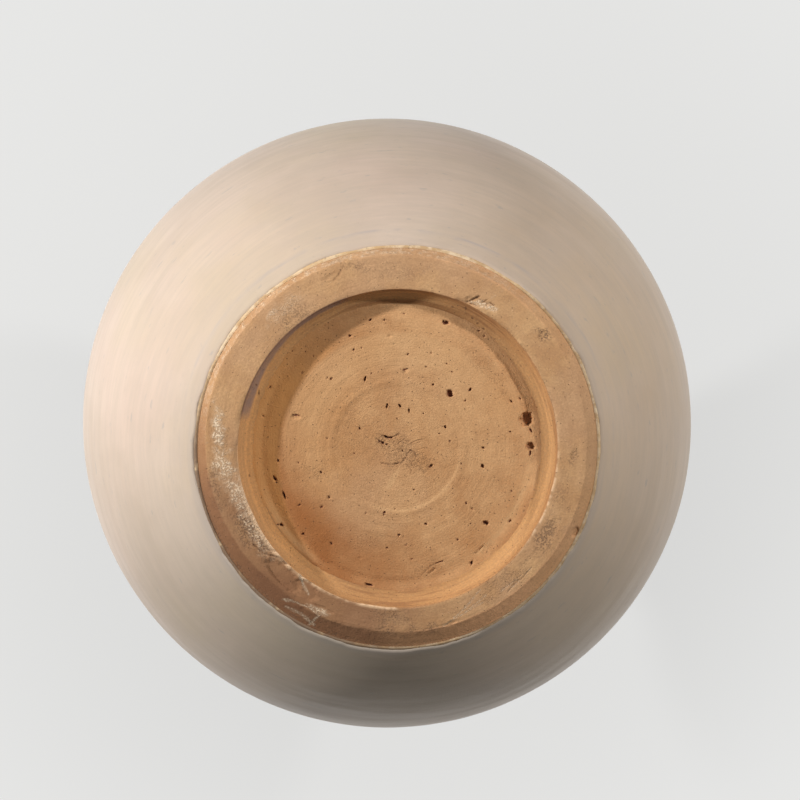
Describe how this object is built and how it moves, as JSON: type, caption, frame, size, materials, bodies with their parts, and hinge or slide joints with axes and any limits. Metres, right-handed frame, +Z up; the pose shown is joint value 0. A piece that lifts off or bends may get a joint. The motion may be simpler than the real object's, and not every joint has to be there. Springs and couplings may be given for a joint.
{
  "type": "jar",
  "caption": "Globular stoneware jar with a broad bare foot ring, a hollow base, a short neck under a rolled lip, and a pale glaze outside.",
  "frame": {"origin": "centre of the ring face that the foot stands on", "axes": "+Z up along the jar's axis from the foot to the mouth; the jar is round, so X and Y are free"},
  "size_m": [0.214, 0.214, 0.19],
  "materials": {
    "foot_clay": "bare turned stoneware clay, matt, pinkish buff with chips and grey dirt",
    "base_clay": "bare turned stoneware clay, matt, orange buff with pits and turning rings",
    "thrown_clay": "bare thrown stoneware clay, matt, with low finger rings",
    "pale_slip": "thin pale slip, dry",
    "cream_glaze": "semi-gloss cream glaze with fine brush marks and yellowish clouds"
  },
  "bodies": {
    "root": {"foot_ring": "foot_clay", "base_disc": "base_clay", "lower_body": "thrown_clay", "belly_seam": "thrown_clay", "upper_body": "thrown_clay", "neck": "thrown_clay", "lip": "thrown_clay", "slip_line": "pale_slip", "outer_glaze": "cream_glaze"}
  },
  "joints": []
}
